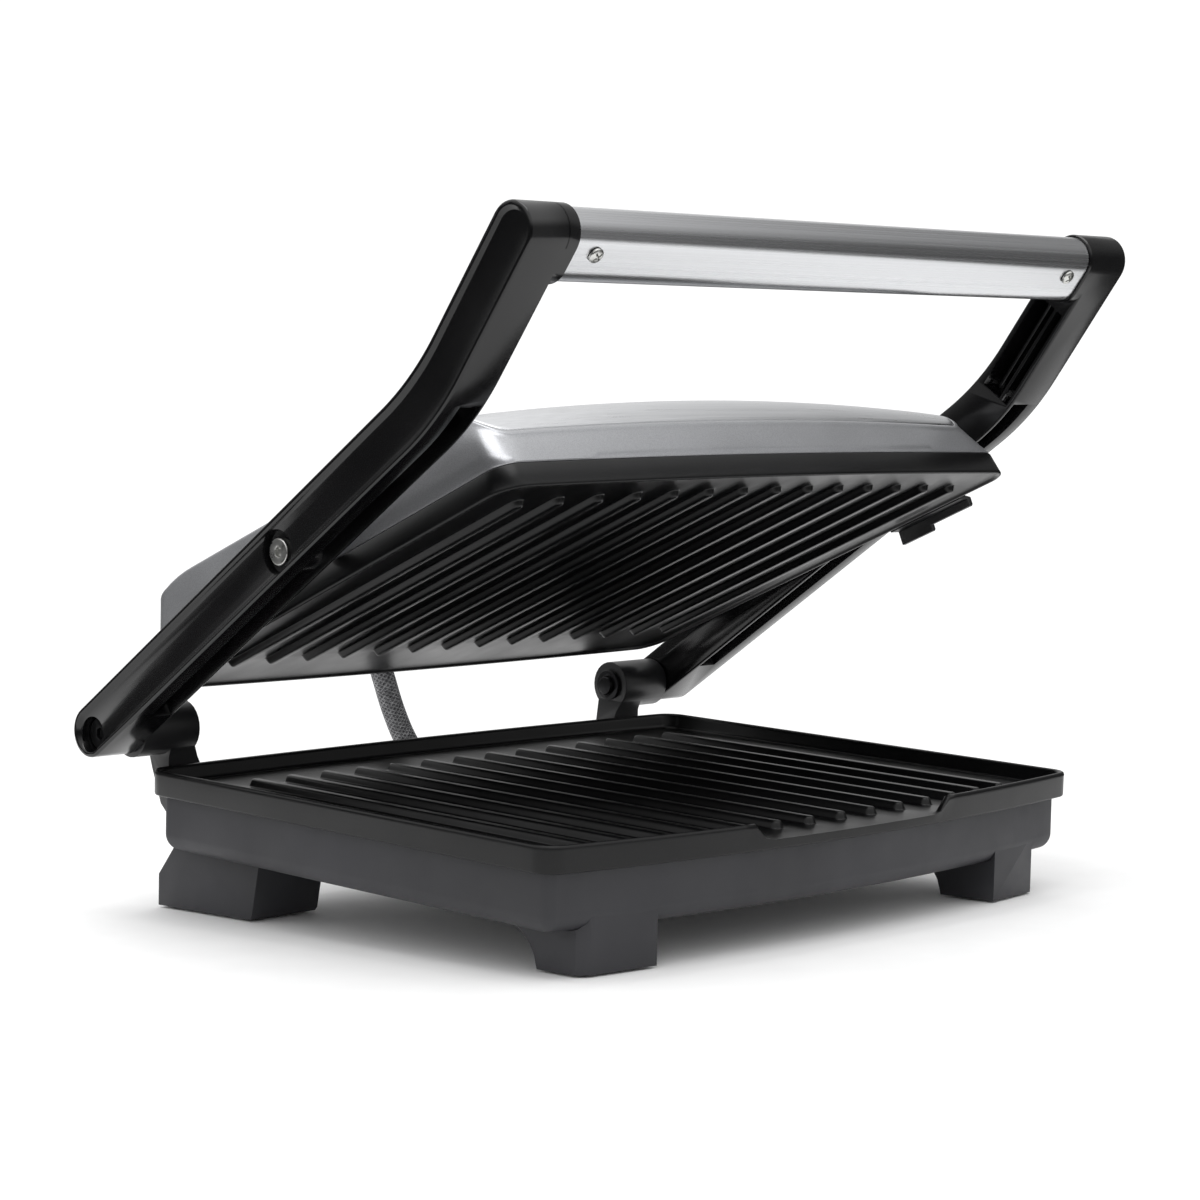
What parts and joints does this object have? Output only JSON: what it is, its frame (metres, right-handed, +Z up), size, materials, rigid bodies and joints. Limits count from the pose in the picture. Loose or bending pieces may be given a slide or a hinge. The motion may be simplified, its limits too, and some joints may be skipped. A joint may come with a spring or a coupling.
{
  "type": "panini press",
  "caption": "Countertop panini press: ridged plates above and below, a lid floating on two cranked arms with a bar handle, and a base leaning forward to a drain notch.",
  "frame": {"origin": "on the table, under the middle of the whole press's box", "axes": "+Z up, the front with the handle and drain notch faces -Y, +X to the user's right"},
  "size_m": [0.343, 0.277, 0.2729],
  "materials": {
    "coated_plate": "die-cast aluminium under a black non-stick coating, satin",
    "charcoal_plastic": "charcoal heat-resistant plastic, satin with a fine moulded grain",
    "gloss_black_plastic": "polished black moulded plastic",
    "black_plastic": "black moulded plastic, satin",
    "silver_shell": "silver-grey metallic lacquer over heat-resistant plastic, satin",
    "silver_panel": "lighter silver, finely brushed from side to side",
    "brushed_steel": "stainless tube, brushed along its length",
    "plated_steel": "zinc-plated steel fasteners",
    "blackened_steel": "blackened steel",
    "heater_sheath": "dull heat-stained element sheath",
    "sheet_aluminium": "bright rolled aluminium sheet",
    "pad_rubber": "matt black rubber",
    "ceramic": "unglazed white ceramic",
    "braided_sleeve": "grey and black braided glass-fibre sleeve",
    "red_lens": "clear red moulded lens",
    "green_lens": "clear green moulded lens"
  },
  "bodies": {
    "base": {"lower_grill_plate": "coated_plate", "base_casing": "charcoal_plastic", "foot_front_left": "charcoal_plastic", "foot_pad_front_left": "pad_rubber", "foot_screw_front_left": "plated_steel", "foot_front_right": "charcoal_plastic", "foot_pad_front_right": "pad_rubber", "foot_screw_front_right": "plated_steel", "foot_rear_left": "charcoal_plastic", "foot_pad_rear_left": "pad_rubber", "foot_screw_rear_left": "plated_steel", "foot_rear_right": "charcoal_plastic", "foot_pad_rear_right": "pad_rubber", "foot_screw_rear_right": "plated_steel", "lower_heating_element": "heater_sheath", "lower_reflector": "sheet_aluminium", "lower_thermostat": "ceramic", "thermal_fuse": "ceramic", "terminal_block": "ceramic", "mains_inlet_gland": "black_plastic", "conduit_bushing_lower": "black_plastic", "hinge_bracket_left": "black_plastic", "hinge_pin_left": "blackened_steel", "hinge_clip_left": "blackened_steel", "hinge_bracket_right": "black_plastic", "hinge_pin_right": "blackened_steel", "hinge_clip_right": "blackened_steel", "conduit_lower": "braided_sleeve"},
    "arms": {"arm_left": "gloss_black_plastic", "arm_right": "gloss_black_plastic", "handle_tube": "brushed_steel", "handle_screw_left": "plated_steel", "handle_screw_right": "plated_steel", "conduit_upper": "braided_sleeve"},
    "lid": {"upper_grill_plate": "coated_plate", "lid_shell": "silver_shell", "lid_top_panel": "silver_panel", "upper_heating_element": "heater_sheath", "upper_reflector": "sheet_aluminium", "upper_thermostat": "ceramic", "power_lens": "red_lens", "ready_lens": "green_lens", "conduit_bushing_upper": "black_plastic", "pivot_bolt_left": "plated_steel", "pivot_bush_left": "blackened_steel", "pivot_bracket_left": "plated_steel", "pivot_nut_left": "plated_steel", "pivot_bolt_right": "plated_steel", "pivot_bush_right": "blackened_steel", "pivot_bracket_right": "plated_steel", "pivot_nut_right": "plated_steel", "latch_guide": "black_plastic"},
    "latch": {"latch_slider": "black_plastic"}
  },
  "joints": [
    {"name": "arm_hinge", "type": "hinge", "parent": "base", "child": "arms", "pos_m": [0, 0.11995, 0.07494], "axis": [-1, 0, 0], "range_deg": [-34.5, 60], "deforming": ["conduit_lower"]},
    {"name": "lid_pivot", "type": "hinge", "parent": "arms", "child": "lid", "pos_m": [0, 0.00163, 0.15052], "axis": [1, 0, 0], "range_deg": [-10.4, 18], "deforming": ["conduit_upper"]},
    {"name": "latch_slide", "type": "slide", "parent": "lid", "child": "latch", "axis": [0, 0.9303, -0.3668], "range_m": [0, 0.006]}
  ],
  "couplings": [
    {"joint": "lid_pivot", "follows": "arm_hinge", "ratio": 0.2971}
  ]
}
